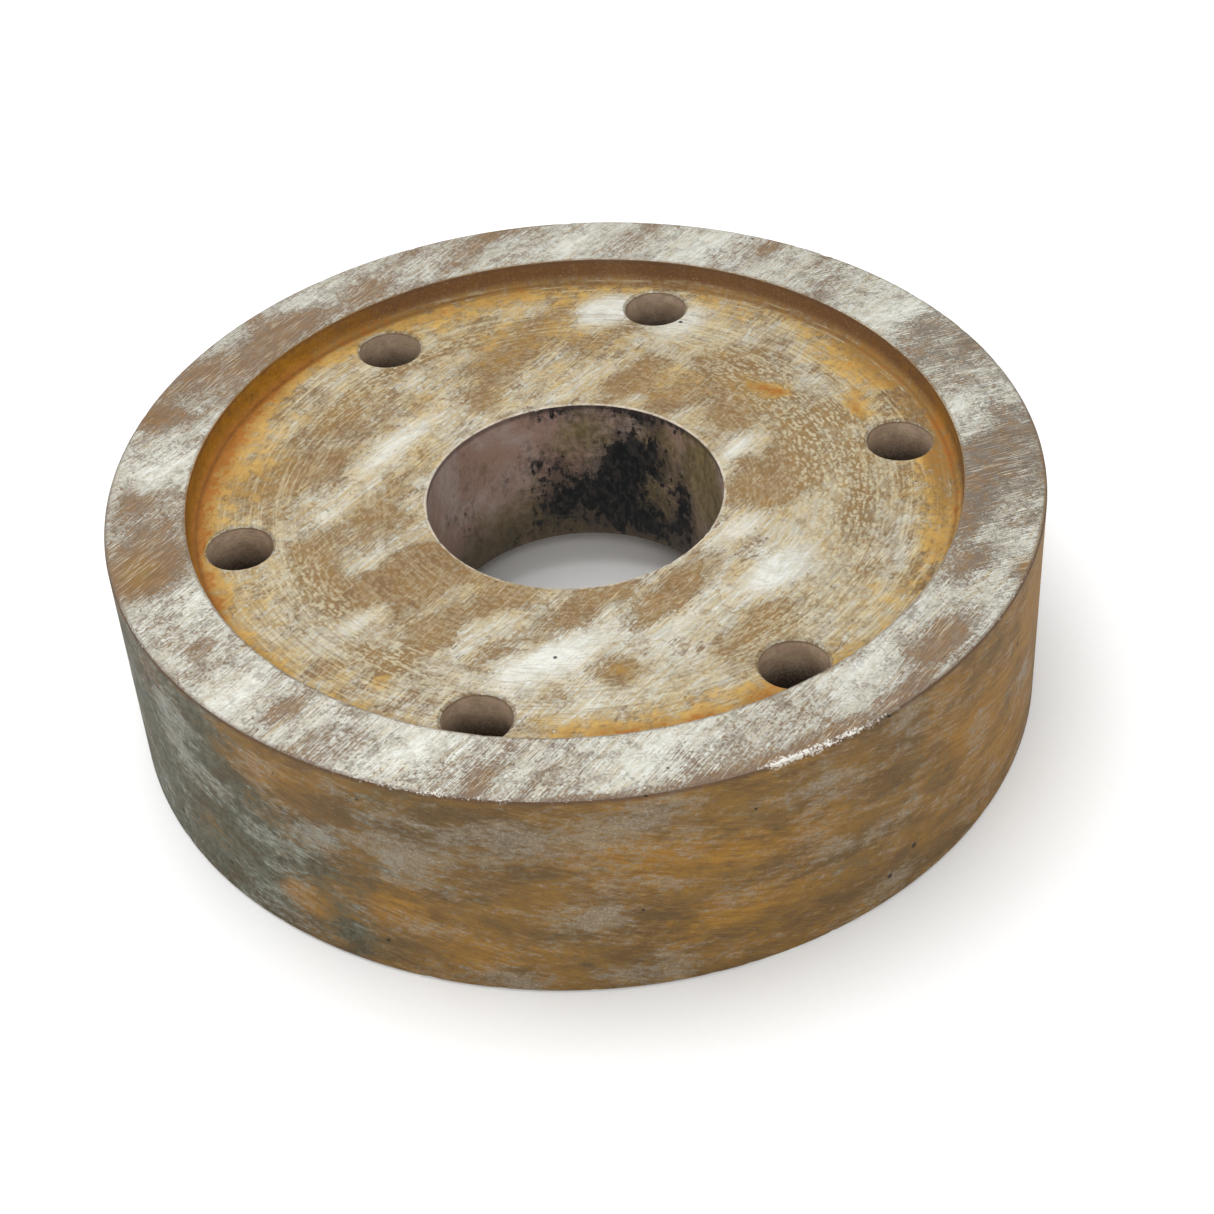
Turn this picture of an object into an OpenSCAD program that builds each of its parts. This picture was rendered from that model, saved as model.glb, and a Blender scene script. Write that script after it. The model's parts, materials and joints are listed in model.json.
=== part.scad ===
// Wheel casting: a thick iron ring, turned all over.
// A raised rim stands round a recessed face, six plain bolt holes go through the web
// close to the recess wall, and a large plain bore goes through the middle.
// Origin: centre of the lowest face. +Z runs up the bore, out of the recessed face.
// +X runs through the two single bolt holes, +Y between the two holes of a pair.

/* [Rim] */
// Outside diameter of the wheel
outer_d = 250; // [240:1:300]
// Overall height, from the lower rim face to the upper rim face
height = 66; // [60:1:90]
// Bevel that breaks the two outer rim edges
rim_bevel = 1; // [0.5:0.1:2]

/* [Upper recess] */
// Diameter of the recess in the upper face
recess_d = 207; // [202:1:220]
// Depth of the upper recess below the rim face
recess_depth = 7.5; // [6:0.5:12]
// Radius left by the tool where the recess wall meets the floor
recess_fillet = 3; // [1:0.5:3.5]
// Bevel that breaks the recess edge
recess_bevel = 0.5; // [0.2:0.1:1]

/* [Lower recess] */
// Diameter of the recess in the lower face
lower_recess_d = 207; // [202:1:220]
// Depth of the lower recess above the lower rim face
lower_recess_depth = 12; // [6:0.5:14]

/* [Bore] */
// Diameter of the centre bore
bore_d = 80; // [60:1:100]
// Bevel at each end of the bore
bore_bevel = 0.5; // [0.2:0.1:1]

/* [Bolt holes] */
// Diameter of the circle through the bolt hole centres
bolt_circle_d = 181; // [176:1:182]
// Diameter of each bolt hole
bolt_hole_d = 18; // [12:0.5:18]
// Angle between the two holes of a pair; the two single holes stand square to both pairs
pair_angle = 52; // [45:1:60]
// Bevel at each end of a bolt hole
bolt_hole_bevel = 0.75; // [0.25:0.25:1]

/* [Hidden] */
$fn = 180;
over = 1; // how far a cutter runs past the face that it cuts
floor_z = height - recess_depth;
bolt_angles = [
    0, 90 - pair_angle / 2, 90 + pair_angle / 2,
    180, 270 - pair_angle / 2, 270 + pair_angle / 2
];

// Half-section of a round pocket with a filleted floor, open at the top, its floor at z = 0
module pocket_section(radius, depth, fillet) {
    square([radius - fillet, depth]);
    translate([0, fillet]) square([radius, depth - fillet]);
    translate([radius - fillet, fillet]) circle(fillet);
}

// Square on its corner, which cuts a 45 degree bevel of this width off an edge
module bevel_section(width) {
    rotate(45) square(width * sqrt(2), center = true);
}

// Half-section of everything that the lathe turned
module turned_section() {
    difference() {
        translate([bore_d / 2, 0]) square([(outer_d - bore_d) / 2, height]);

        translate([0, floor_z]) pocket_section(recess_d / 2, recess_depth + over, recess_fillet);
        translate([0, lower_recess_depth]) mirror([0, 1])
            pocket_section(lower_recess_d / 2, lower_recess_depth + over, recess_fillet);

        for (z = [0, height]) translate([outer_d / 2, z]) bevel_section(rim_bevel);
        translate([recess_d / 2, height]) bevel_section(recess_bevel);
        translate([lower_recess_d / 2, 0]) bevel_section(recess_bevel);
        for (z = [lower_recess_depth, floor_z]) translate([bore_d / 2, z]) bevel_section(bore_bevel);
    }
}

// One bolt hole through the web, with a bevel at each end
module bolt_hole() {
    web = floor_z - lower_recess_depth;
    bevelled_r = bolt_hole_d / 2 + bolt_hole_bevel + over;
    translate([0, 0, lower_recess_depth - over]) cylinder(d = bolt_hole_d, h = web + 2 * over);
    translate([0, 0, floor_z - bolt_hole_bevel])
        cylinder(r1 = bolt_hole_d / 2, r2 = bevelled_r, h = bolt_hole_bevel + over);
    translate([0, 0, lower_recess_depth - over])
        cylinder(r1 = bevelled_r, r2 = bolt_hole_d / 2, h = bolt_hole_bevel + over);
}

// The whole casting, which is one piece
module wheel_body() {
    color("tan") difference() {
        rotate_extrude() turned_section();
        for (angle = bolt_angles)
            rotate(angle) translate([bolt_circle_d / 2, 0, 0]) bolt_hole();
    }
}

wheel_body();
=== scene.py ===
import json
import math
import random

import bmesh
import bpy
import numpy as np
from mathutils import Matrix, Vector, kdtree


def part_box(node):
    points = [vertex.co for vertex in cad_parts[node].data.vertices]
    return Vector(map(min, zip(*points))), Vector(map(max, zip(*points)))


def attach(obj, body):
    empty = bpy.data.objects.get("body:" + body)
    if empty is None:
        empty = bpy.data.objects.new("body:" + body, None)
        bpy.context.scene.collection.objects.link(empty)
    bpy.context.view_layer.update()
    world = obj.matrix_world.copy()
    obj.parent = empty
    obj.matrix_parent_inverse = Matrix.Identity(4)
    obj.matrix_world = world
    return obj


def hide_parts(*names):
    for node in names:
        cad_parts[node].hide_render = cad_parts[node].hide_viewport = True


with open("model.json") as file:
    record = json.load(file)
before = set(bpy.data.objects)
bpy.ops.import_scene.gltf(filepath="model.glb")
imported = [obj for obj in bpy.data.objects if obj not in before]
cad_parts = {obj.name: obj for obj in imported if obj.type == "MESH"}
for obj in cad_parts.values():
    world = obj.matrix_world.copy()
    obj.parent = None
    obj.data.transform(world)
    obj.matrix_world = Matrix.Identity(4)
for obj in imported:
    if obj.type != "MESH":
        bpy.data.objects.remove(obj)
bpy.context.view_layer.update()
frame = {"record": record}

# ---------------------------------------------------------------------------------------------
# Wheel body: one heavy grey iron casting, turned all over on a lathe and then drilled.
# It has rusted in store and been brushed back by hand, so bare metal, brown scale and yellow
# rust lie side by side. It is a single piece, with nothing fixed to it.
# ---------------------------------------------------------------------------------------------
MM = 0.001
mounts = {mount["name"]: mount for mount in frame["record"]["mounts"]}
box_low, box_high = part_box("wheel_body")

outer_r = box_high.x
height = box_high.z
bore_r = mounts["centre_bore"]["dims"]["r_mm"] * MM
recess_r = mounts["upper_recess_wall"]["dims"]["r_mm"] * MM
lower_recess_r = mounts["lower_recess_wall"]["dims"]["r_mm"] * MM
floor_z = mounts["recess_floor"]["pos_m"][2]
lower_floor_z = 12 * MM
bolt_hole_r = mounts["single_bolt_holes"]["dims"]["hole_r_mm"] * MM
single_hole_x = mounts["single_bolt_holes"]["dims"]["spacing_x_mm"] * MM / 2
paired_hole_x = mounts["paired_bolt_holes"]["dims"]["spacing_x_mm"] * MM / 2
paired_hole_y = mounts["paired_bolt_holes"]["dims"]["spacing_y_mm"] * MM / 2

rim_edge_r = 1.0 * MM
recess_edge_r = 0.5 * MM
bore_edge_r = 0.5 * MM
fillet_r = 3.0 * MM
bolt_hole_bevel = 0.75 * MM

TURNING_STEPS = 640
HOLE_STEPS = 96
MERGE_GAP = 2e-6
SHARP_TURN = math.radians(38)


def straight(start, end, spacing):
    """Points from start up to, but not on, end."""
    start, end = Vector(start), Vector(end)
    count = max(1, round((end - start).length / spacing))
    return [start.lerp(end, i / count) for i in range(count)]


def arc(centre, radius, start, end, count):
    """Points round an arc, its angles in degrees, up to but not on its end."""
    turns = [math.radians(start + (end - start) * i / count) for i in range(count)]
    return [Vector((centre[0] + radius * math.cos(a), centre[1] + radius * math.sin(a))) for a in turns]


def spin_section(outline, steps):
    """A closed ring of revolution round Z from the half-section (radius, z)."""
    turned = bmesh.new()
    corners = [turned.verts.new((r, 0, z)) for r, z in outline]
    sides = [turned.edges.new(pair) for pair in zip(corners, corners[1:] + corners[:1])]
    bmesh.ops.spin(turned, geom=corners + sides, cent=(0, 0, 0), axis=(0, 0, 1),
                   angle=2 * math.pi, steps=steps, use_merge=True, use_duplicate=False)
    bmesh.ops.remove_doubles(turned, verts=turned.verts, dist=1e-6)
    bmesh.ops.recalc_face_normals(turned, faces=turned.faces)
    return turned


# The section runs from the foot of the outer wall up, over the rim, into the recess, down the
# bore and back under the casting. Points crowd together next to the edges that get knocked.
fine, middling, coarse = 0.5 * MM, 2.4 * MM, 3.6 * MM
foot_spacing = fine * 1.6
outer_wall_spacing = middling * 1.15
recess_wall_spacing = fine * 2.5
band = 2.5 * MM
rim_flat_r = outer_r - rim_edge_r
wall_top = height - rim_edge_r
recess_lip_r = recess_r + recess_edge_r
bore_lip_r = bore_r + bore_edge_r
lower_lip_r = lower_recess_r + recess_edge_r
section = (
    arc((rim_flat_r, rim_edge_r), rim_edge_r, -90, 0, 4)
    + straight((outer_r, rim_edge_r), (outer_r, rim_edge_r + band), foot_spacing)
    + straight((outer_r, rim_edge_r + band), (outer_r, wall_top - band), outer_wall_spacing)
    + straight((outer_r, wall_top - band), (outer_r, wall_top), fine)
    + arc((rim_flat_r, wall_top), rim_edge_r, 0, 90, 4)
    + straight((rim_flat_r, height), (rim_flat_r - band, height), fine)
    + straight((rim_flat_r - band, height), (recess_lip_r + fine, height), middling)
    + straight((recess_lip_r + fine, height), (recess_lip_r, height), fine)
    + arc((recess_lip_r, height - recess_edge_r), recess_edge_r, 90, 180, 3)
    + straight((recess_r, height - recess_edge_r), (recess_r, floor_z + fillet_r), recess_wall_spacing)
    + arc((recess_r - fillet_r, floor_z + fillet_r), fillet_r, 0, -90, 6)
    + straight((recess_r - fillet_r, floor_z), (bore_lip_r + fine, floor_z), middling)
    + straight((bore_lip_r + fine, floor_z), (bore_lip_r, floor_z), fine)
    + arc((bore_lip_r, floor_z - bore_edge_r), bore_edge_r, 90, 180, 3)
    + straight((bore_r, floor_z - bore_edge_r), (bore_r, lower_floor_z + bore_edge_r), coarse)
    + arc((bore_lip_r, lower_floor_z + bore_edge_r), bore_edge_r, 180, 270, 3)
    + straight((bore_lip_r, lower_floor_z), (lower_recess_r - fillet_r, lower_floor_z), coarse)
    + arc((lower_recess_r - fillet_r, lower_floor_z - fillet_r), fillet_r, 90, 0, 5)
    + straight((lower_recess_r, lower_floor_z - fillet_r), (lower_recess_r, recess_edge_r), coarse)
    + arc((lower_lip_r, recess_edge_r), recess_edge_r, 180, 270, 3)
    + straight((lower_lip_r, 0), (rim_flat_r, 0), coarse)
)
casting = spin_section([(p.x, p.y) for p in section], TURNING_STEPS)
body_mesh = bpy.data.meshes.new("wheel_casting")
casting.to_mesh(body_mesh)
casting.free()
wheel = bpy.data.objects.new("wheel_casting", body_mesh)
bpy.context.collection.objects.link(wheel)

# The drill: a plain cylinder through the web that flares where each end of the hole is bevelled.
over = 2 * MM
flared_r = bolt_hole_r + bolt_hole_bevel + over
drill_outline = [
    (0, lower_floor_z - over),
    (flared_r, lower_floor_z - over),
    (bolt_hole_r, lower_floor_z + bolt_hole_bevel),
    (bolt_hole_r, floor_z - bolt_hole_bevel),
    (flared_r, floor_z + over),
    (0, floor_z + over),
]
hole_centres = [(x * single_hole_x, 0) for x in (-1, 1)]
hole_centres += [(x * paired_hole_x, y * paired_hole_y) for x in (-1, 1) for y in (-1, 1)]
drills = bmesh.new()
for x, y in hole_centres:
    drill = spin_section(drill_outline, HOLE_STEPS)
    bmesh.ops.translate(drill, verts=drill.verts, vec=(x, y, 0))
    drill_mesh = bpy.data.meshes.new("drill")
    drill.to_mesh(drill_mesh)
    drill.free()
    drills.from_mesh(drill_mesh)
    bpy.data.meshes.remove(drill_mesh)
drills_mesh = bpy.data.meshes.new("drills")
drills.to_mesh(drills_mesh)
drills.free()
drills_object = bpy.data.objects.new("drills", drills_mesh)
bpy.context.collection.objects.link(drills_object)

drilling = wheel.modifiers.new("drilling", "BOOLEAN")
drilling.operation = "DIFFERENCE"
drilling.solver = "EXACT"
drilling.object = drills_object
drilled_mesh = bpy.data.meshes.new_from_object(wheel.evaluated_get(bpy.context.evaluated_depsgraph_get()))
wheel.modifiers.clear()
wheel.data = drilled_mesh
bpy.data.meshes.remove(body_mesh)
bpy.data.objects.remove(drills_object)
bpy.data.meshes.remove(drills_mesh)

body = bmesh.new()
body.from_mesh(drilled_mesh)
bmesh.ops.remove_doubles(body, verts=body.verts, dist=MERGE_GAP)
bmesh.ops.dissolve_degenerate(body, edges=body.edges, dist=MERGE_GAP)
bmesh.ops.triangulate(body, faces=[face for face in body.faces if len(face.verts) > 4])
bmesh.ops.recalc_face_normals(body, faces=body.faces)

# Knocks and wear. Each knock flattens the edge round one point. The long worn stretch at the front
# of the upper rim has been dragged over something hard, so knocks crowd together there.
body.verts.ensure_lookup_table()
tree_of_verts = kdtree.KDTree(len(body.verts))
for index, vert in enumerate(body.verts):
    tree_of_verts.insert(vert.co, index)
tree_of_verts.balance()

knocks = random.Random(7)


def knock(azimuth, radius, z, reach, depth, push):
    """Moves the surface near a point on an edge along push, which points into the metal."""
    turn = math.radians(azimuth)
    outward = Vector((math.cos(turn), math.sin(turn), 0))
    centre = outward * radius + Vector((0, 0, z))
    inward = (outward * push[0] + Vector((0, 0, push[1]))).normalized()
    for _, index, distance in tree_of_verts.find_range(centre, reach):
        fall = 1 - (distance / reach) ** 2
        body.verts[index].co += inward * depth * fall * fall


WORN_AZIMUTH = -71
WORN_SPREAD = 8

# Round the upper edge, then crowded on its worn stretch.
for _ in range(30):
    knock(knocks.uniform(0, 360), outer_r, height, knocks.uniform(1.2, 2.4) * MM,
          knocks.uniform(0.08, 0.28) * MM, (-1, -1))
for _ in range(60):
    knock(knocks.gauss(WORN_AZIMUTH, WORN_SPREAD), outer_r - 0.3 * MM, height, knocks.uniform(0.8, 1.6) * MM,
          knocks.uniform(0.10, 0.34) * MM, (-1, -1))
# Round the foot, the lip of the recess and the lip of the bore.
for _ in range(30):
    knock(knocks.uniform(0, 360), outer_r, 0, knocks.uniform(1.2, 2.6) * MM,
          knocks.uniform(0.06, 0.22) * MM, (-1, 1))
for _ in range(18):
    knock(knocks.uniform(0, 360), recess_r, height, knocks.uniform(1.0, 2.0) * MM,
          knocks.uniform(0.08, 0.25) * MM, (1, -1))
for _ in range(16):
    knock(knocks.uniform(0, 360), bore_r, floor_z, knocks.uniform(0.8, 1.8) * MM,
          knocks.uniform(0.08, 0.22) * MM, (1, -1))

body.to_mesh(drilled_mesh)
body.free()
drilled_mesh.shade_smooth()
drilled_mesh.set_sharp_from_angle(angle=SHARP_TURN)

# Where the rust lies. Each patch is a soft spot that the materials break up into scale and
# brush marks: azimuth in degrees, radius or height, half length and half width in mm, and amount.
# Minus amounts are places brushed back to bright metal.
BRUSH_TURN = math.radians(38)
places = np.empty(len(drilled_mesh.vertices) * 3)
drilled_mesh.vertices.foreach_get("co", places)
places = places.reshape(-1, 3) / MM
x, y, z = places.T
radius = np.hypot(x, y)
azimuth = np.degrees(np.arctan2(y, x))
on_top = z > floor_z / MM - 0.4
on_outer_wall = radius > outer_r / MM - 0.8
in_bore = radius < bore_r / MM + 0.4
near_recess_wall = abs(radius - recess_r / MM) < fillet_r / MM + 0.1
between_faces = (z > floor_z / MM + 0.05) & (z < height / MM - 0.1)
on_recess_wall = on_top & near_recess_wall & between_faces


def brushed_patches(patches):
    """Patches drawn out along the brush's direction on the flat faces."""
    field = np.zeros(len(x))
    for patch_azimuth, patch_radius, length, width, amount in patches:
        turn = math.radians(patch_azimuth)
        away_x, away_y = x - patch_radius * math.cos(turn), y - patch_radius * math.sin(turn)
        along = away_x * math.cos(BRUSH_TURN) + away_y * math.sin(BRUSH_TURN)
        across = away_y * math.cos(BRUSH_TURN) - away_x * math.sin(BRUSH_TURN)
        field += amount * np.exp(-((along / length) ** 2) - (across / width) ** 2)
    return field


def round_patches(patches, level, level_r):
    """Patches drawn out round the axis, on a ring of radius level_r: level is radius or height."""
    field = np.zeros(len(x))
    for patch_azimuth, patch_level, length, width, amount in patches:
        away = np.radians((azimuth - patch_azimuth + 180) % 360 - 180) * level_r
        field += amount * np.exp(-((away / length) ** 2) - ((level - patch_level) / width) ** 2)
    return field


rim_scale = brushed_patches([
    (187, 117, 12, 9, 1.4), (172, 118, 7, 5, 0.9), (153, 121, 6, 8, 0.9), (143, 118, 11, 4, 0.7),
    (127, 111, 11, 6, 1.2), (135, 108, 7, 4, 0.7), (113, 110, 9, 4, 0.9), (104, 121, 9, 3, 0.6),
    (92, 121, 12, 4, 0.9), (97, 111, 7, 3, 0.5), (69, 120, 10, 4, 0.4), (50, 121, 8, 3, 0.9),
    (37, 106, 10, 5, 0.5), (42, 124, 6, 2, 0.7), (13, 122, 3, 5, 0.7), (5, 112, 8, 3, 0.3),
    (351, 113, 11, 6, 1.1), (343, 108, 8, 4, 0.8), (333, 105, 10, 5, 0.9), (326, 112, 7, 3, 0.7),
    (309, 117, 11, 5, 1.0), (301, 122, 8, 3, 0.8), (326, 124, 5, 3, 0.9), (249, 118, 9, 3, 1.0),
    (254, 121, 6, 2, 0.6), (221, 112, 6, 3, 0.7), (228, 117, 5, 3, 0.6), (205, 113, 5, 3, 0.6),
    (165, 112, 10, 6, -0.5), (195, 107, 8, 5, -0.5), (215, 118, 14, 5, -0.5), (240, 111, 16, 5, -0.5),
    (270, 110, 18, 5, -0.4), (300, 108, 14, 4, -0.5), (60, 112, 18, 6, -0.5), (25, 114, 14, 7, -0.5),
    (80, 112, 9, 4, -0.5), (120, 120, 6, 3, -0.4), (0, 107, 8, 4, -0.4), (335, 113, 8, 3, -0.5),
    (345, 116, 34, 14, 0.85), (15, 114, 20, 14, 0.65), (140, 114, 34, 14, 0.7), (182, 114, 20, 14, 0.7),
]) + round_patches([
    (288, 123, 18, 3, 1.2), (276, 124, 14, 2, 1.1), (262, 124, 12, 1.2, 0.8),
], radius, outer_r / MM)

# Radii in mm at which the lengths of the round patches are true.
ringed_r, rusty_r, recess_wall_r, rim_middle_r = 78, 95, 103, 114

floor_scale = brushed_patches([
    (156, 74, 13, 8, 1.0), (141, 78, 9, 5, 0.7), (164, 89, 8, 6, 0.6), (90, 77, 18, 5, 0.8),
    (97, 66, 14, 6, 0.8), (73, 73, 12, 6, 0.7), (62, 53, 13, 5, 0.9), (46, 48, 9, 6, 0.8),
    (37, 69, 12, 9, 0.7), (24, 57, 12, 7, 0.8), (9, 68, 10, 8, 0.6), (347, 52, 9, 8, 0.9),
    (300, 73, 11, 5, 0.9), (289, 49, 20, 5, 0.9), (257, 52, 16, 5, 0.9), (236, 46, 9, 4, 0.8),
    (208, 50, 16, 9, 1.3), (225, 79, 5, 3, 1.3), (268, 74, 5, 4, 0.9), (250, 78, 10, 4, 0.5),
    (205, 62, 14, 7, 0.8), (228, 62, 12, 5, 0.7), (182, 52, 10, 7, 0.6), (5, 60, 24, 14, 0.3),
    (130, 60, 14, 4, 0.4), (110, 52, 8, 5, 0.5), (170, 55, 16, 4, 0.5),
    (211, 73, 10, 4, -1.3), (251, 70, 14, 6, -1.2), (314, 64, 13, 6, -1.1), (73, 87, 9, 7, -1.4),
    (58, 84, 10, 6, -0.9), (10, 49, 12, 4, -0.9), (325, 47, 12, 5, -0.8), (150, 57, 14, 5, -0.6),
    (128, 57, 20, 5, -0.6), (174, 66, 14, 4, -0.6), (195, 60, 10, 3, -0.4), (235, 60, 10, 4, -0.4),
    (285, 62, 14, 4, -0.5), (266, 60, 22, 5, -0.5), (340, 64, 10, 6, -0.4), (260, 86, 12, 3, -0.4),
    (80, 50, 18, 4, -0.3),
]) + round_patches([
    (112, 80, 24, 3, 0.9), (346, 77, 18, 4, 0.9), (194, 73, 22, 5, 0.9), (220, 80, 12, 3, 0.6),
    (354, 98, 22, 4, 0.9), (2, 101, 20, 3, 0.9), (24, 100, 16, 3, 0.8), (80, 101, 44, 2, 0.5),
    (344, 86, 12, 3, 0.4),
], radius, ringed_r)

yellow_rust = round_patches([
    (150, 102, 52, 5, 0.9), (176, 101, 22, 4, 0.6), (200, 102, 24, 4, 0.6), (222, 102, 20, 3.5, 0.5),
    (226, 87, 3.5, 3, 0.7), (250, 102, 30, 3, 0.45), (276, 98, 22, 4, 0.45), (268, 74, 5, 4, 0.45),
    (27, 70, 5, 2.5, 0.8), (24, 72, 3, 2, 0.6), (31, 68, 5, 2, 0.5), (12, 85, 6, 2.5, 0.8),
    (15, 88, 4, 2, 0.6), (9, 83, 3, 2, 0.5), (22, 95, 26, 6, 0.3), (335, 98, 22, 5, 0.35),
    (272, 97, 18, 5, 0.4), (287, 95, 14, 5, 0.5), (262, 93, 12, 4, 0.3), (281, 89, 6, 3, 0.3),
    (92, 72, 50, 18, 0.20), (42, 60, 20, 14, 0.14),
    (95, 98, 40, 5, 0.45), (160, 88, 22, 8, 0.25), (73, 87, 9, 7, -0.6), (60, 86, 9, 6, -0.4),
    (230, 80, 40, 12, -0.12), (265, 64, 34, 16, -0.22), (330, 90, 12, 4, -0.3), (352, 96, 8, 4, 0.35),
], radius, rusty_r)
rust_starts_r, rust_full_r = 86, 98
yellow_rust += 0.30 + 0.20 * np.clip((radius - rust_starts_r) / (rust_full_r - rust_starts_r), 0, 1)
rim_rust = 0.04 + round_patches([
    (187, 117, 9, 7, 0.3), (153, 122, 5, 5, 0.2), (326, 124, 5, 3, 0.25),
], radius, rim_middle_r)
on_rim_face = radius > recess_r / MM + 0.2
yellow_rust = np.where(on_rim_face, rim_rust, yellow_rust)
ring_zone = round_patches([
    (0, 72, 62, 13, 1.0), (212, 79, 44, 8, 0.9), (118, 81, 34, 4, 0.9), (300, 82, 34, 7, 0.6),
    (60, 80, 24, 7, 0.5),
], radius, ringed_r)

# Patches at level 0 on this run the full height of the wall.
one_level = np.zeros(len(x))
wall_brown = round_patches([(75, 0, 90, 1, 1.6)], one_level, recess_wall_r)
wall_yellow = round_patches([(160, 0, 62, 1, 1.3), (0, 0, 40, 1, 0.7)], one_level, recess_wall_r)
wall_brown *= on_recess_wall
wall_yellow *= on_recess_wall

# Grey-green patina on the outer wall. The broad low patch at -165 degrees is partly patina and partly painted
# shade, darkening that side.
wall_patina_and_shade = round_patches([
    (-170, 33, 36, 60, 1.0), (-148, 44, 22, 24, 0.9), (-140, 24, 12, 14, 0.8), (-144, 6, 20, 8, 0.8),
    (160, 44, 34, 14, 0.4), (150, 12, 30, 12, 0.4), (-126, 33, 26, 60, 0.25), (-133, 34, 8, 8, 0.6),
    (-128, 8, 7, 8, 0.5), (-135, 16, 7, 5, -1.0), (-137, 55, 14, 5, -0.9),
    (-165, 14, 40, 22, 0.5), (-122, 22, 9, 8, -0.5),
], z, outer_r / MM)
wall_grey = round_patches([
    (-120, 42, 17, 9, 0.9), (-109, 53, 15, 7, 0.9), (-94, 58, 18, 5, 0.8), (-131, 41, 6, 4, 1.2),
    (-100, 26, 11, 6, 0.8), (-95, 5, 13, 4, 0.9), (-109, 4, 8, 5, 0.9), (-73, 55, 10, 6, 0.7),
    (-61, 59, 10, 8, 0.8), (-68, 29, 16, 4, 0.7), (-61, 7, 14, 4, 0.8), (-33, 29, 8, 6, 0.9),
    (-120, 13, 9, 5, 0.3), (-156, 50, 9, 10, 1.0), (-150, 38, 14, 5, 1.1), (-142, 30, 10, 4, 0.9),
    (-140, 6, 12, 5, 1.0), (60, 40, 20, 10, 0.8), (120, 20, 24, 9, 0.8), (20, 12, 16, 6, 0.7),
    (160, 48, 18, 8, 0.7), (-22, 48, 24, 18, -0.7),
], z, outer_r / MM)
# Orange rust on the outer wall. The broad minus patch at -160 degrees takes the orange away on that side:
# partly the wall's own colour, partly painted shade.
wall_orange = round_patches([
    (-94, 45, 14, 5, 0.9), (-83, 41, 20, 5, 0.8), (-122, 24, 12, 8, 0.7), (-83, 20, 18, 6, 0.8),
    (-48, 39, 14, 8, 1.0), (-37, 17, 18, 10, 1.1), (-55, 58, 8, 6, 0.7), (-30, 47, 14, 10, 0.9),
    (-135, 16, 7, 5, 0.7), (-137, 55, 14, 5, 0.4), (-112, 12, 12, 6, 0.6), (30, 40, 22, 9, 0.8),
    (90, 25, 22, 10, 0.8), (145, 30, 18, 8, 0.7), (-34, 34, 44, 30, 0.45), (-160, 20, 44, 40, -0.6),
    (-18, 48, 24, 18, 0.8), (-119, 52, 20, 9, -0.7),
], z, outer_r / MM)

bore_soot = round_patches([
    (46, 44, 6, 8, 1.0), (31, 28, 5, 12, 1.1), (60, 42, 6, 11, 1.1), (64, 27, 11, 13, 1.1),
    (48, 57, 16, 2.5, 0.9), (82, 57, 14, 2.5, 0.8), (88, 25, 9, 9, 0.9), (97, 38, 8, 6, 0.6),
    (48, 18, 12, 6, 0.6), (110, 16, 12, 6, 0.4), (210, 30, 10, 12, 0.9), (280, 22, 9, 12, 0.8),
], z, bore_r / MM)
bore_olive = round_patches([
    (14, 46, 16, 16, 1.1), (46, 26, 5, 9, 0.9), (76, 48, 9, 7, 0.6), (125, 16, 26, 10, 0.9),
    (66, 20, 30, 12, 0.6), (54, 42, 24, 14, 0.38),
    (240, 40, 14, 14, 0.7), (330, 25, 12, 14, 0.7),
], z, bore_r / MM)

fresh_metal = round_patches([
    (WORN_AZIMUTH, 0, 20, 1, 0.8), (WORN_AZIMUTH - 7, 0, 7, 1, 0.5), (-40, 0, 20, 1, 0.3),
    (-118, 0, 32, 1, 0.5), (-160, 0, 20, 1, 0.3), (60, 0, 60, 1, 0.35),
], one_level, outer_r / MM)

flat_scale = np.where(on_rim_face, rim_scale, floor_scale)
fields = {
    "brown_scale": np.where(on_top, flat_scale, 0.3) + wall_brown,
    "yellow_rust": np.where(on_top, yellow_rust, 0) + wall_yellow + np.where(on_outer_wall, wall_orange, 0),
    "grey_patina": np.where(on_outer_wall, wall_patina_and_shade, 0) + np.where(in_bore, bore_olive, 0),
    "pale_grey": np.where(on_outer_wall, wall_grey, 0),
    "soot": np.where(in_bore, bore_soot, 0),
    "ring_zone": np.clip(ring_zone, 0, 1),
    "fresh_metal": np.clip(fresh_metal, 0, 1),
}
for name, field in fields.items():
    attribute = drilled_mesh.attributes.new(name, "FLOAT", "POINT")
    attribute.data.foreach_set("value", field.astype(np.float32))


# Material helpers. Colours are written as they look on a screen, 0 to 255, and turned linear.
def shade(red, green, blue):
    """A screen colour as the linear colour that a shader takes."""
    parts = [c / 255 for c in (red, green, blue)]
    return tuple(c / 12.92 if c <= 0.04045 else ((c + 0.055) / 1.055) ** 2.4 for c in parts) + (1.0,)


def add(tree, kind, inputs=None, **settings):
    """A node with its settings, and each input either linked or set."""
    node = tree.nodes.new(kind)
    for name, value in settings.items():
        setattr(node, name, value)
    for name, value in (inputs or {}).items():
        if isinstance(value, bpy.types.NodeSocket):
            tree.links.new(value, node.inputs[name])
        else:
            node.inputs[name].default_value = value
    return node


def sums(tree, operation, first, second=0.0, third=0.0, clamp=False):
    """One step of arithmetic."""
    node = add(tree, "ShaderNodeMath", {0: first, 1: second, 2: third}, operation=operation, use_clamp=clamp)
    return node.outputs[0]


def times(tree, first, second, clamp=False):
    """One value times another."""
    return sums(tree, "MULTIPLY", first, second, clamp=clamp)


def times_plus(tree, first, second, third):
    """One value times another, plus a third."""
    return sums(tree, "MULTIPLY_ADD", first, second, third)


def ramp(tree, value, low, high, bottom=0.0, top=1.0):
    """Smoothly from bottom to top as value goes from low to high."""
    node = add(tree, "ShaderNodeMapRange",
               {"Value": value, "From Min": low, "From Max": high, "To Min": bottom, "To Max": top},
               interpolation_type="SMOOTHSTEP")
    return node.outputs["Result"]


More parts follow.
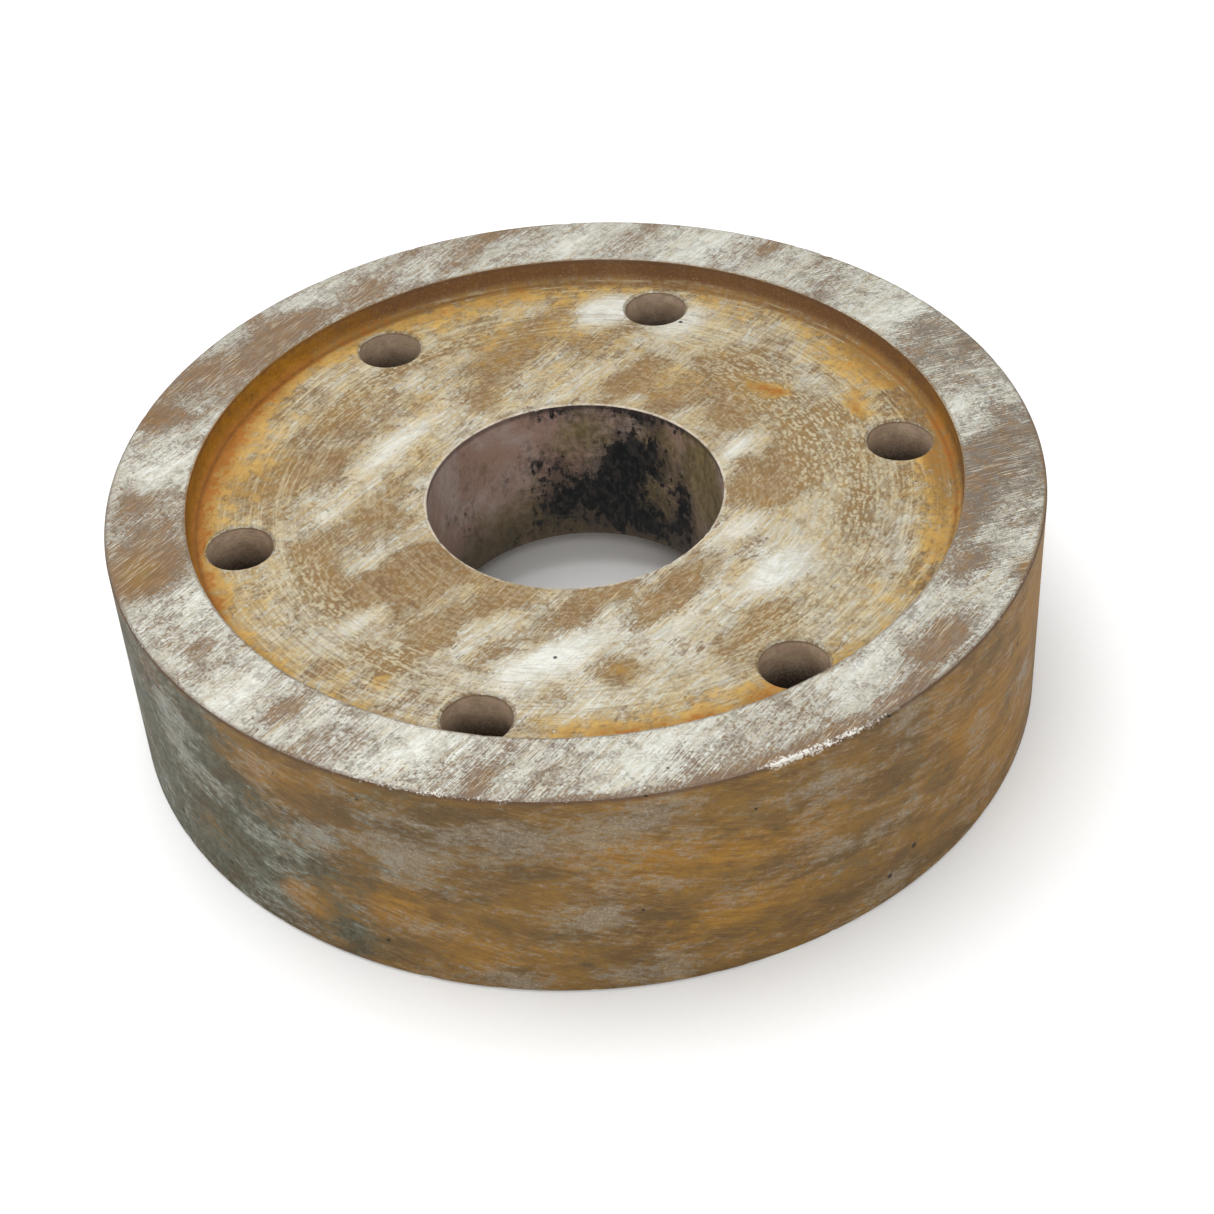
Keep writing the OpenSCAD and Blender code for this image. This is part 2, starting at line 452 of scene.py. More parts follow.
def mix(tree, factor, first, second):
    """One colour over another."""
    node = add(tree, "ShaderNodeMix", {"Factor": factor, 6: first, 7: second},
               data_type="RGBA", clamp_factor=True)
    return node.outputs[2]


def between(tree, factor, first, second):
    """One value fading into another."""
    return add(tree, "ShaderNodeMix", {"Factor": factor, 2: first, 3: second}).outputs[0]


def noise(tree, position, scale, detail=4.0, roughness=0.6, distortion=0.0):
    """Cloudy values about 0.5."""
    node = add(tree, "ShaderNodeTexNoise", {"Vector": position, "Scale": scale, "Detail": detail,
                                            "Roughness": roughness, "Distortion": distortion})
    return node.outputs["Fac"]


def painted(tree, name):
    """The value painted on the mesh under this name."""
    return add(tree, "ShaderNodeAttribute", attribute_name=name).outputs["Fac"]


def new_group(name, inputs, outputs):
    """A shader node group with its sockets, and its input and output nodes."""
    tree = bpy.data.node_groups.new(name, "ShaderNodeTree")
    for socket, kind, value in inputs:
        made = tree.interface.new_socket(socket, in_out="INPUT", socket_type=kind)
        if value is not None:
            made.default_value = value
    for socket, kind in outputs:
        tree.interface.new_socket(socket, in_out="OUTPUT", socket_type=kind)
    return tree, tree.nodes.new("NodeGroupInput").outputs, tree.nodes.new("NodeGroupOutput").inputs


def place(tree, group, inputs):
    """The only output of one use of a group."""
    node = tree.nodes.new("ShaderNodeGroup")
    node.node_tree = group
    for name, value in inputs.items():
        if isinstance(value, bpy.types.NodeSocket):
            tree.links.new(value, node.inputs[name])
        else:
            node.inputs[name].default_value = value
    return node.outputs[0]


VALUE, VECTOR = "NodeSocketFloat", "NodeSocketVector"

# Marks drawn out along one direction, as a wire brush leaves them. They wander a little.
brush_group, given, result = new_group(
    "brush_marks",
    [("Position", VECTOR, None), ("Turn", VALUE, 0.0), ("Length", VALUE, 20.0), ("Width", VALUE, 1.0),
     ("Wander", VALUE, 4.0)],
    [("Marks", VALUE)])
swirl = add(brush_group, "ShaderNodeTexNoise", {"Vector": given["Position"], "Scale": 0.03, "Detail": 2.0})
centred = add(brush_group, "ShaderNodeVectorMath", {0: swirl.outputs["Color"], 1: (0.5, 0.5, 0.5)},
              operation="SUBTRACT")
shift = add(brush_group, "ShaderNodeVectorMath", {0: centred.outputs[0], "Scale": given["Wander"]},
            operation="SCALE")
moved = add(brush_group, "ShaderNodeVectorMath", {0: given["Position"], 1: shift.outputs[0]}, operation="ADD")
turned = add(brush_group, "ShaderNodeVectorRotate",
             {"Vector": moved.outputs[0], "Angle": times(brush_group, given["Turn"], -1.0)},
             rotation_type="Z_AXIS")
size = add(brush_group, "ShaderNodeCombineXYZ",
           {"X": given["Length"], "Y": given["Width"], "Z": given["Width"]})
drawn = add(brush_group, "ShaderNodeVectorMath", {0: turned.outputs[0], 1: size.outputs[0]},
            operation="DIVIDE")
brush_group.links.new(noise(brush_group, drawn.outputs[0], 1.0, 5.0, 0.62), result["Marks"])

# Marks that run round the wheel, as the lathe and years of rolling leave them, on a slight slant.
round_group, given, result = new_group(
    "round_marks",
    [("Position", VECTOR, None), ("Slant", VALUE, 0.2), ("Length", VALUE, 20.0), ("Width", VALUE, 1.0)],
    [("Marks", VALUE)])
parts = add(round_group, "ShaderNodeSeparateXYZ", {0: given["Position"]}).outputs
slanted = times_plus(round_group, parts["X"], given["Slant"], parts["Z"])
drawn = add(round_group, "ShaderNodeCombineXYZ", {
    "X": sums(round_group, "DIVIDE", parts["X"], given["Length"]),
    "Y": sums(round_group, "DIVIDE", parts["Y"], given["Length"]),
    "Z": sums(round_group, "DIVIDE", slanted, given["Width"])})
round_group.links.new(noise(round_group, drawn.outputs[0], 1.0, 5.0, 0.62), result["Marks"])

# Small black pits where the casting was porous: few, and of different sizes.
pit_group, given, result = new_group(
    "pits",
    [("Position", VECTOR, None), ("Spacing", VALUE, 9.0), ("Size", VALUE, 0.5), ("Share", VALUE, 0.4)],
    [("Mask", VALUE)])
cells = add(pit_group, "ShaderNodeTexVoronoi",
            {"Vector": given["Position"], "Scale": sums(pit_group, "DIVIDE", 1.0, given["Spacing"])})
reach = sums(pit_group, "DIVIDE", given["Size"], given["Spacing"])
chosen = add(pit_group, "ShaderNodeSeparateColor", {0: cells.outputs["Color"]}).outputs
lucky = sums(pit_group, "LESS_THAN", chosen[0], given["Share"])
own_reach = times(pit_group, reach, sums(pit_group, "ADD", chosen[1], 0.35))
ragged = times_plus(pit_group, noise(pit_group, given["Position"], 1.7, 3.0), 0.05,
              sums(pit_group, "SUBTRACT", cells.outputs["Distance"], 0.025))
near = ramp(pit_group, sums(pit_group, "DIVIDE", ragged, own_reach), 0.7, 1.1, 1.0, 0.0)
pit_group.links.new(times(pit_group, near, lucky), result["Mask"])

# Ragged patches: a cloudy value, broken up by finer grain, against a threshold.
patch_group, given, result = new_group(
    "ragged_patches",
    [("Position", VECTOR, None), ("Size", VALUE, 20.0), ("Bias", VALUE, 0.0), ("Marks", VALUE, 0.5),
     ("Mark Amount", VALUE, 0.5), ("Grain Size", VALUE, 1.5), ("Grain Amount", VALUE, 0.3),
     ("Softness", VALUE, 0.08)],
    [("Mask", VALUE)])
cloud = noise(patch_group, given["Position"], sums(patch_group, "DIVIDE", 1.0, given["Size"]), 6.0, 0.6, 0.4)
grain_scale = sums(patch_group, "DIVIDE", 1.0, given["Grain Size"])
grain = noise(patch_group, given["Position"], grain_scale, 4.0, 0.65)
total = sums(patch_group, "ADD", cloud, given["Bias"])
total = times_plus(patch_group, sums(patch_group, "SUBTRACT", given["Marks"], 0.5),
             given["Mark Amount"], total)
total = times_plus(patch_group, sums(patch_group, "SUBTRACT", grain, 0.5), given["Grain Amount"], total)
low_edge = sums(patch_group, "SUBTRACT", 0.5, given["Softness"])
high_edge = sums(patch_group, "ADD", 0.5, given["Softness"])
patch_group.links.new(ramp(patch_group, total, low_edge, high_edge), result["Mask"])


def new_material(name):
    """An empty material, its surface shader and the position in mm."""
    material = bpy.data.materials.new(name)
    material.use_nodes = True
    tree = material.node_tree
    tree.nodes.clear()
    shader = tree.nodes.new("ShaderNodeBsdfPrincipled")
    output = tree.nodes.new("ShaderNodeOutputMaterial")
    tree.links.new(shader.outputs[0], output.inputs["Surface"])
    here = add(tree, "ShaderNodeTexCoord").outputs["Object"]
    position = add(tree, "ShaderNodeVectorMath", {0: here, "Scale": 1 / MM}, operation="SCALE").outputs[0]
    return material, tree, shader, position


def finish(tree, shader, colour, roughness, metallic, relief, depth):
    """Joins the worked-out surface to the shader. Relief is a height in mm, scaled by depth."""
    bump = add(tree, "ShaderNodeBump", {"Height": relief, "Distance": depth * MM, "Strength": 1.0})
    for name, value in (("Base Color", colour), ("Roughness", roughness), ("Metallic", metallic)):
        if isinstance(value, bpy.types.NodeSocket):
            tree.links.new(value, shader.inputs[name])
        else:
            shader.inputs[name].default_value = value
    tree.links.new(bump.outputs["Normal"], shader.inputs["Normal"])


# Turned faces: bare grey metal with brown scale and yellow rust, and brush marks across all three.
turned_iron, tree, shader, position = new_material("turned_iron")
parts = add(tree, "ShaderNodeSeparateXYZ", {0: position}).outputs
flat_place = add(tree, "ShaderNodeCombineXYZ", {"X": parts["X"], "Y": parts["Y"]}).outputs[0]
from_axis = add(tree, "ShaderNodeVectorMath", {0: flat_place}, operation="LENGTH").outputs["Value"]
above_floor = sums(tree, "SUBTRACT", parts["Z"], floor_z / MM)
on_rim = ramp(tree, from_axis, recess_r / MM + 0.04, recess_r / MM + 0.12)
rust = painted(tree, "yellow_rust")
scale_field = painted(tree, "brown_scale")
polished = ramp(tree, scale_field, -0.9, -0.1, 1.0, 0.0)


def brush(turn, length, width, wander):
    """Brush marks on the turned faces."""
    return place(tree, brush_group, {"Position": position, "Turn": turn, "Length": length,
                                     "Width": width, "Wander": wander})


long_marks = brush(BRUSH_TURN, 18.0, 1.1, 8.0)
slanting_marks = brush(BRUSH_TURN + 0.1, 8.0, 0.18, 1.5)
level_marks = brush(0.12, 8.0, 0.22, 1.5)
cross_marks = brush(BRUSH_TURN - 0.8, 7.0, 0.24, 3.0)
to_right = ramp(tree, parts["X"], 74.0, 104.0)
fine_marks = between(tree, to_right, slanting_marks, level_marks)
ring_place = add(tree, "ShaderNodeCombineXYZ", {
    "X": sums(tree, "DIVIDE", from_axis, 1.1),
    "Y": sums(tree, "DIVIDE", parts["X"], 9.0), "Z": sums(tree, "DIVIDE", parts["Y"], 9.0)}).outputs[0]
ring_marks = noise(tree, ring_place, 1.0, 4.0, 0.6, 0.15)
ring_zone = painted(tree, "ring_zone")
wide_marks = between(tree, ring_zone, long_marks, ring_marks)
clouds = noise(tree, position, 0.06, 5.0, 0.6, 0.3)
small_clouds = noise(tree, position, 0.30, 6.0, 0.70, 0.2)
flecks = noise(tree, position, 1.5, 5.0, 0.8)

# Scale stands in ragged maps on the recess floor, and in soft streaky clouds on the rim.
scale_bias = times_plus(tree, scale_field, 0.36, -0.085)
floor_marks = times_plus(tree, fine_marks, 0.5, times(tree, wide_marks, 0.5))
floor_scale_mask = place(tree, patch_group, {
    "Position": position, "Size": 11.0, "Bias": scale_bias, "Marks": floor_marks, "Mark Amount": 1.3,
    "Grain Size": 1.0, "Grain Amount": 0.55, "Softness": 0.028})
rim_bias = times_plus(tree, to_right, -0.04, sums(tree, "ADD", scale_bias, -0.035))
rim_scale_mask = place(tree, patch_group, {
    "Position": position, "Size": 12.0, "Bias": rim_bias, "Marks": fine_marks,
    "Mark Amount": 1.4, "Grain Size": 0.8, "Grain Amount": 1.1, "Softness": 0.055})
scale_mask = between(tree, on_rim, floor_scale_mask, rim_scale_mask)

# Bare metal: pale, with grey-brown streaks and specks that thicken towards the scale.
metal = mix(tree, ramp(tree, small_clouds, 0.32, 0.62), shade(166, 162, 147), shade(206, 206, 196))
metal = mix(tree, ramp(tree, long_marks, 0.46, 0.72, 0.0, 0.55), metal, shade(218, 220, 214))
metal = mix(tree, times(tree, polished, 0.55), metal, shade(222, 223, 218))
tarnish = times_plus(tree, scale_field, 0.12, times(tree, fine_marks, 0.70))
tarnish = times_plus(tree, flecks, 0.42, tarnish)
tarnish = times_plus(tree, small_clouds, 0.34, tarnish)
metal = mix(tree, ramp(tree, tarnish, 0.70, 0.86, 0.0, 0.9), metal, shade(122, 110, 92))
metal = mix(tree, ramp(tree, tarnish, 0.83, 0.97, 0.0, 0.85), metal, shade(80, 68, 58))

# Straw yellow film on the recess floor, brushed away where it has been polished.
rust_cloud = times(tree, rust, ramp(tree, clouds, 0.25, 0.7, 0.6, 1.4))
rust_grain = times(tree, rust_cloud, ramp(tree, small_clouds, 0.3, 0.7, 0.5, 1.5))
streaky = times_plus(tree, sums(tree, "SUBTRACT", wide_marks, 0.5), -1.6, rust_grain)
film = times(tree, ramp(tree, streaky, 0.0, 0.6, 0.0, 0.92), sums(tree, "SUBTRACT", 1.0, polished))
straw = mix(tree, ramp(tree, small_clouds, 0.35, 0.62), shade(152, 126, 76), shade(188, 168, 122))
straw = mix(tree, ramp(tree, tarnish, 0.68, 0.84, 0.0, 0.8), straw, shade(124, 98, 58))
surface = mix(tree, film, metal, straw)
speckle_mask = place(tree, patch_group, {
    "Position": position, "Size": 4.5, "Bias": times_plus(tree, scale_field, 0.10, -0.07),
    "Marks": fine_marks, "Mark Amount": 0.45, "Grain Size": 0.7, "Grain Amount": 0.8, "Softness": 0.05})
speckle_amount = times_plus(tree, polished, -0.5, ramp(tree, on_rim, 0.0, 1.0, 0.62, 0.54))
speckled = times(tree, speckle_mask, speckle_amount, clamp=True)
surface = mix(tree, speckled, surface, mix(tree, on_rim, shade(124, 100, 64), shade(104, 90, 76)))

scale = mix(tree, ramp(tree, clouds, 0.38, 0.62), shade(108, 80, 44), shade(128, 100, 56))
scale = mix(tree, times(tree, on_rim, ramp(tree, rust, 0.05, 0.3, 0.9, 0.0)), scale,
            mix(tree, to_right, shade(112, 91, 72), shade(104, 95, 86)))
scale = mix(tree, ramp(tree, small_clouds, 0.42, 0.62, 0.0, 0.6), scale, shade(130, 96, 54))
scale = mix(tree, ramp(tree, flecks, 0.52, 0.66, 0.0, 0.7), scale, shade(84, 66, 48))
surface = mix(tree, times(tree, scale_mask, ramp(tree, rust_grain, 0.55, 1.1, 0.92, 0.3)), surface, scale)

# Pale chips through the scale in small curved flecks, closest together on the lathe's rings.
curls = noise(tree, position, 1.1, 5.0, 0.7, 0.8)
row_place = add(tree, "ShaderNodeCombineXYZ", {
    "X": sums(tree, "DIVIDE", from_axis, 1.15),
    "Y": sums(tree, "DIVIDE", parts["X"], 2.3), "Z": sums(tree, "DIVIDE", parts["Y"], 2.3)}).outputs[0]
row_cells = add(tree, "ShaderNodeTexVoronoi", {"Vector": row_place, "Scale": 1.0, "Randomness": 1.0})
rows = row_cells.outputs["Distance"]
flaking = times_plus(tree, curls, -2.4, sums(tree, "ADD", rows, 0.55))
off_rim = sums(tree, "SUBTRACT", 1.0, on_rim)
chip_amount = times(tree, ramp(tree, flaking, -0.19, -0.25), ramp(tree, ring_zone, 0.0, 0.8, 0.3, 1.0))
chip_amount = times(tree, chip_amount, off_rim)
crust = times(tree, ramp(tree, flaking, -0.17, -0.05), ramp(tree, ring_zone, 0.1, 0.9, 0.0, 0.62))
crust = times(tree, crust, ramp(tree, small_clouds, 0.38, 0.58, 0.35, 1.0))
surface = mix(tree, times(tree, crust, sums(tree, "SUBTRACT", 1.0, polished)), surface, shade(134, 108, 68))
surface = mix(tree, times(tree, chip_amount, 0.7), surface, shade(190, 180, 150))

# Turning marks: faint rings that the lathe left, clearest towards the recess wall.
turning_place = add(tree, "ShaderNodeCombineXYZ", {
    "X": sums(tree, "DIVIDE", from_axis, 0.75),
    "Y": sums(tree, "DIVIDE", parts["X"], 18.0), "Z": sums(tree, "DIVIDE", parts["Y"], 18.0)}).outputs[0]
turning = noise(tree, turning_place, 1.0, 3.0, 0.6, 0.1)
turning_zone = times(tree, off_rim, ramp(tree, from_axis, 66.0, 86.0, 0.12, 0.42))
dark_rings = times(tree, ramp(tree, turning, 0.53, 0.62), turning_zone)
surface = mix(tree, dark_rings, surface, shade(130, 104, 64))
pale_rings = times(tree, ramp(tree, turning, 0.47, 0.38), turning_zone)
surface = mix(tree, pale_rings, surface, shade(200, 188, 154))

# Stronger rust: gold first, then orange-brown, with soft edges.
gold = mix(tree, ramp(tree, small_clouds, 0.35, 0.65), shade(150, 108, 38), shade(188, 152, 80))
gold = mix(tree, ramp(tree, scale_field, 0.1, 0.9, 0.0, 0.8), gold, shade(126, 90, 34))
surface = mix(tree, ramp(tree, rust_grain, 0.42, 0.95, 0.0, 0.85), surface, gold)
surface = mix(tree, ramp(tree, rust_grain, 0.95, 1.7, 0.0, 0.85), surface, shade(152, 90, 20))

# Bright scratches, and dark ones where dirt fills them.
scratched = times(tree, ramp(tree, clouds, 0.38, 0.60, 0.35, 1.0),
                  ramp(tree, rust_grain, 0.35, 0.9, 0.75, 0.12))
rim_marks = times_plus(tree, on_rim, 0.03, fine_marks)
bright_scratch = times(tree, ramp(tree, rim_marks, 0.59, 0.65), scratched)
surface = mix(tree, bright_scratch, surface, shade(212, 208, 190))
dark_scratch = times(tree, ramp(tree, cross_marks, 0.60, 0.68), ramp(tree, rust_grain, 0.35, 0.9, 0.65, 0.35))
surface = mix(tree, dark_scratch, surface, shade(100, 84, 62))

# The recess wall keeps its brown scale and the fillet its rust. Its lip is a thin dark line of painted shade,
# and painted shade darkens the top of the wall under it.
up_wall = times(tree, ramp(tree, above_floor, 0.1, 2.6), sums(tree, "SUBTRACT", 1.0, on_rim))
wall_rust = times_plus(tree, rust_grain, 0.35, times(tree, rust, 0.65))
wall_colour = mix(tree, ramp(tree, wall_rust, 0.8, 1.7), shade(114, 80, 52), shade(170, 118, 22))
wall_colour = mix(tree, ramp(tree, small_clouds, 0.4, 0.7, 0.0, 0.5), wall_colour, shade(120, 84, 40))
wall_colour = mix(tree, ramp(tree, flecks, 0.54, 0.66, 0.0, 0.6), wall_colour, shade(78, 54, 36))
wall_colour = mix(tree, ramp(tree, flecks, 0.44, 0.34, 0.0, 0.6), wall_colour, shade(186, 156, 112))
# Painted shade: the top of the recess wall, just under the lip, is darkened.
under_lip_shade_level = times_plus(tree, small_clouds, 3.0, above_floor)
wall_colour = mix(tree, ramp(tree, under_lip_shade_level, 7.0, 8.6, 0.0, 0.6), wall_colour, shade(84, 60, 48))
surface = mix(tree, times(tree, up_wall, 0.9), surface, wall_colour)
at_foot = times(tree, ramp(tree, above_floor, 0.02, 0.25), ramp(tree, above_floor, 0.35, 0.8, 1.0, 0.0))
surface = mix(tree, times(tree, at_foot, 0.45), surface, shade(104, 66, 26))
# Painted shade: a thin dark line on the rounded lip of the recess.
at_lip = times(tree, ramp(tree, from_axis, recess_r / MM + 0.1, recess_r / MM + 0.35),
              ramp(tree, from_axis, recess_r / MM + 0.6, recess_r / MM + 0.9, 1.0, 0.0))
lip_line_shade = times(tree, at_lip, ramp(tree, small_clouds, 0.35, 0.6, 0.2, 0.7))
surface = mix(tree, lip_line_shade, surface, shade(118, 100, 82))
# Painted highlight: a thin pale line round the lip of the bore.
at_bore = ramp(tree, from_axis, bore_r / MM + 0.5, bore_r / MM + 0.9, 1.0, 0.0)
bore_lip_highlight = times(tree, at_bore, ramp(tree, small_clouds, 0.38, 0.58, 0.1, 0.65))
surface = mix(tree, bore_lip_highlight, surface, shade(208, 198, 184))

# The rim's outer corner has darkened to a ragged brown line, chipped to fresh metal in one place.
to_edge = sums(tree, "SUBTRACT", outer_r / MM, from_axis)
edge_line = ramp(tree, times_plus(tree, flecks, 2.6, to_edge), 1.3, 2.8, 1.0, 0.0)
surface = mix(tree, times(tree, edge_line, 0.75), surface, shade(104, 84, 70))
chipped = times_plus(tree, flecks, 2.2, times(tree, small_clouds, 1.4))
chipped = times_plus(tree, painted(tree, "fresh_metal"), 0.66, chipped)
chipped = times_plus(tree, to_edge, -0.26, chipped)
fresh = ramp(tree, chipped, 2.10, 2.18)
surface = mix(tree, times(tree, fresh, 0.92), surface, shade(228, 226, 218))

pits = place(tree, pit_group, {"Position": position, "Spacing": 9.0, "Size": 0.55, "Share": 0.25})
surface = mix(tree, times(tree, pits, 0.9), surface, shade(46, 38, 34))

covered = sums(tree, "MAXIMUM", scale_mask, sums(tree, "MAXIMUM", film, up_wall))
bare = sums(tree, "SUBTRACT", 1.0, covered, clamp=True)
relief = times_plus(tree, scale_mask, 0.45, times(tree, fine_marks, 0.8))
relief = times_plus(tree, flecks, 0.45, relief)
relief = times_plus(tree, cross_marks, -0.3, relief)
relief = times_plus(tree, chip_amount, -0.35, relief)
relief = times_plus(tree, times(tree, turning, turning_zone), 0.9, relief)
relief = times_plus(tree, pits, -1.6, relief)
roughness = ramp(tree, bare, 0.0, 1.0, 0.68, 0.44)
roughness = times_plus(tree, sums(tree, "SUBTRACT", fine_marks, 0.5), 0.35, roughness)
shader.inputs["Specular IOR Level"].default_value = 0.25
finish(tree, shader, surface, roughness, times(tree, bare, 0.35), relief, 0.13)

# Outer wall: ochre and brown rust, worn through to grey, with a grey-green patina on one side that painted
# shade darkens further there.
outer_iron, tree, shader, position = new_material("outer_wall_iron")
long_marks = place(tree, round_group, {"Position": position, "Slant": 0.30, "Length": 12.0, "Width": 1.2})
fine_marks = place(tree, round_group, {"Position": position, "Slant": 0.42, "Length": 4.5, "Width": 0.26})
back_marks = place(tree, round_group, {"Position": position, "Slant": -0.5, "Length": 5.0, "Width": 0.3})
swept = add(tree, "ShaderNodeMapping", {"Vector": position, "Scale": (0.42, 0.42, 1.0)}).outputs[0]
clouds = noise(tree, swept, 0.10, 6.0, 0.62, 0.5)
small_clouds = noise(tree, position, 0.35, 6.0, 0.72, 0.3)
flecks = noise(tree, position, 1.5, 5.0, 0.8)
patina_and_shade_mask = place(tree, patch_group, {
    "Position": swept, "Size": 12.0, "Bias": times_plus(tree, painted(tree, "grey_patina"), 0.5, -0.26),
    "Marks": long_marks, "Mark Amount": 0.5, "Grain Size": 1.8, "Grain Amount": 0.7, "Softness": 0.2})
grey_mask = place(tree, patch_group, {
    "Position": swept, "Size": 8.0, "Bias": times_plus(tree, painted(tree, "pale_grey"), 0.25, -0.15),
    "Marks": long_marks, "Mark Amount": 0.35, "Grain Size": 1.0, "Grain Amount": 0.8, "Softness": 0.17})
orange_mask = place(tree, patch_group, {
    "Position": swept, "Size": 8.0, "Bias": times_plus(tree, painted(tree, "yellow_rust"), 0.30, -0.12),
    "Marks": long_marks, "Mark Amount": 0.4, "Grain Size": 1.6, "Grain Amount": 0.6, "Softness": 0.22})

surface = mix(tree, ramp(tree, clouds, 0.38, 0.62), shade(92, 70, 40), shade(124, 92, 42))
surface = mix(tree, ramp(tree, small_clouds, 0.42, 0.66, 0.0, 0.7), surface, shade(104, 80, 46))
ochre = mix(tree, ramp(tree, long_marks, 0.36, 0.64), shade(142, 98, 30), shade(160, 116, 40))
surface = mix(tree, times(tree, orange_mask, 0.75), surface, ochre)
patina = mix(tree, ramp(tree, small_clouds, 0.38, 0.62), shade(58, 60, 48), shade(90, 93, 78))
patina = mix(tree, ramp(tree, clouds, 0.52, 0.40, 0.0, 0.8), patina, shade(72, 62, 40))
# Patina, with painted shade darkening the lower left side.
surface = mix(tree, times(tree, patina_and_shade_mask, 0.92), surface, patina)
pale = mix(tree, patina_and_shade_mask, shade(136, 127, 111), shade(148, 152, 142))
pale = mix(tree, ramp(tree, small_clouds, 0.38, 0.62, 0.6, 0.0), pale, shade(112, 101, 84))
pale = mix(tree, ramp(tree, flecks, 0.48, 0.40, 0.0, 0.6), pale, shade(172, 168, 154))
surface = mix(tree, times(tree, grey_mask, 0.72), surface, pale)
surface = mix(tree, ramp(tree, fine_marks, 0.57, 0.66, 0.0, 0.24), surface, shade(168, 142, 88))
surface = mix(tree, ramp(tree, fine_marks, 0.42, 0.33, 0.0, 0.6), surface, shade(70, 54, 36))
surface = mix(tree, ramp(tree, back_marks, 0.60, 0.70, 0.0, 0.4), surface, shade(86, 66, 42))
surface = mix(tree, ramp(tree, flecks, 0.55, 0.68, 0.0, 0.65), surface, shade(70, 54, 40))
parts = add(tree, "ShaderNodeSeparateXYZ", {0: position}).outputs
below_top = sums(tree, "SUBTRACT", height / MM, parts["Z"])
edge_line = ramp(tree, times_plus(tree, flecks, 2.0, below_top), 1.4, 2.8, 1.0, 0.0)
surface = mix(tree, times(tree, edge_line, 0.8), surface, shade(84, 62, 48))
chipped = times_plus(tree, flecks, 2.2, times(tree, small_clouds, 1.4))
chipped = times_plus(tree, painted(tree, "fresh_metal"), 0.66, chipped)
chipped = times_plus(tree, below_top, -0.30, chipped)
fresh = ramp(tree, chipped, 2.10, 2.18)
surface = mix(tree, times(tree, fresh, 0.85), surface, shade(208, 202, 188))
pits = place(tree, pit_group, {"Position": position, "Spacing": 9.0, "Size": 0.8, "Share": 0.4})
surface = mix(tree, times(tree, pits, 0.9), surface, shade(36, 30, 26))
relief = times_plus(tree, fine_marks, 0.9, times(tree, small_clouds, 0.8))
relief = times_plus(tree, flecks, 0.5, relief)
relief = times_plus(tree, back_marks, -0.4, relief)
relief = times_plus(tree, pits, -1.8, relief)
roughness = ramp(tree, grey_mask, 0.0, 1.0, 0.62, 0.48)
shader.inputs["Specular IOR Level"].default_value = 0.2
finish(tree, shader, surface, roughness, times(tree, grey_mask, 0.2), relief, 0.16)

# Bore: a smooth mauve-brown skin, olive towards one side, with soot burnt on in ragged patches.
bore_iron, tree, shader, position = new_material("bore_iron")
stretched = add(tree, "ShaderNodeMapping", {"Vector": position, "Scale": (1.0, 1.0, 0.6)}).outputs[0]
clouds = noise(tree, position, 0.07, 5.0, 0.6, 0.4)
small_clouds = noise(tree, stretched, 0.5, 6.0, 0.7, 0.3)
flecks = noise(tree, position, 1.6, 5.0, 0.8)
marks = place(tree, round_group, {"Position": position, "Slant": 0.0, "Length": 7.0, "Width": 0.3})
soot_bias = times_plus(tree, painted(tree, "soot"), 0.44, -0.31)
soot_mask = place(tree, patch_group, {
    "Position": stretched, "Size": 8.0, "Bias": soot_bias, "Marks": marks, "Mark Amount": 0.25,
    "Grain Size": 1.9, "Grain Amount": 1.1, "Softness": 0.08})
haze_mask = place(tree, patch_group, {
    "Position": stretched, "Size": 9.0, "Bias": sums(tree, "ADD", soot_bias, 0.10), "Marks": marks,
    "Mark Amount": 0.35, "Grain Size": 1.4, "Grain Amount": 0.8, "Softness": 0.22})
olive_mask = place(tree, patch_group, {
    "Position": position, "Size": 12.0, "Bias": times_plus(tree, painted(tree, "grey_patina"), 0.45, -0.22),
    "Marks": marks, "Mark Amount": 0.3, "Grain Size": 2.0, "Grain Amount": 0.6, "Softness": 0.2})
parts = add(tree, "ShaderNodeSeparateXYZ", {0: position}).outputs
surface = mix(tree, ramp(tree, clouds, 0.38, 0.62), shade(154, 124, 110), shade(166, 148, 138))
surface = mix(tree, ramp(tree, small_clouds, 0.42, 0.66, 0.0, 0.4), surface, shade(146, 118, 102))
olive = mix(tree, ramp(tree, small_clouds, 0.38, 0.62), shade(100, 86, 56), shade(134, 118, 84))
surface = mix(tree, olive_mask, surface, olive)
surface = mix(tree, ramp(tree, marks, 0.42, 0.30, 0.0, 0.5), surface, shade(84, 70, 60))
surface = mix(tree, ramp(tree, marks, 0.60, 0.70, 0.0, 0.3), surface, shade(160, 146, 134))
# Painted shade: the bore darkens towards its foot.
surface = mix(tree, ramp(tree, parts["Z"], 38.0, 15.0, 0.0, 0.76), surface, shade(66, 56, 40))
surface = mix(tree, times(tree, haze_mask, 0.72), surface, shade(50, 44, 40))
soot = mix(tree, ramp(tree, small_clouds, 0.4, 0.65), shade(8, 14, 17), shade(34, 36, 38))
soot_amount = times(tree, soot_mask, ramp(tree, small_clouds, 0.64, 0.44, 0.75, 0.98))
surface = mix(tree, soot_amount, surface, soot)
surface = mix(tree, ramp(tree, flecks, 0.56, 0.68, 0.0, 0.5), surface, shade(56, 46, 42))
lip_shadow = ramp(tree, parts["Z"], floor_z / MM - 2.4, floor_z / MM - 0.9, 0.0, 0.6)
surface = mix(tree, lip_shadow, surface, shade(58, 46, 44))
relief = times_plus(tree, marks, 0.6, times(tree, small_clouds, 0.6))
relief = times_plus(tree, soot_mask, 0.3, relief)
shader.inputs["Specular IOR Level"].default_value = 0.25
finish(tree, shader, surface, ramp(tree, soot_mask, 0.0, 1.0, 0.52, 0.7), 0.0, relief, 0.10)

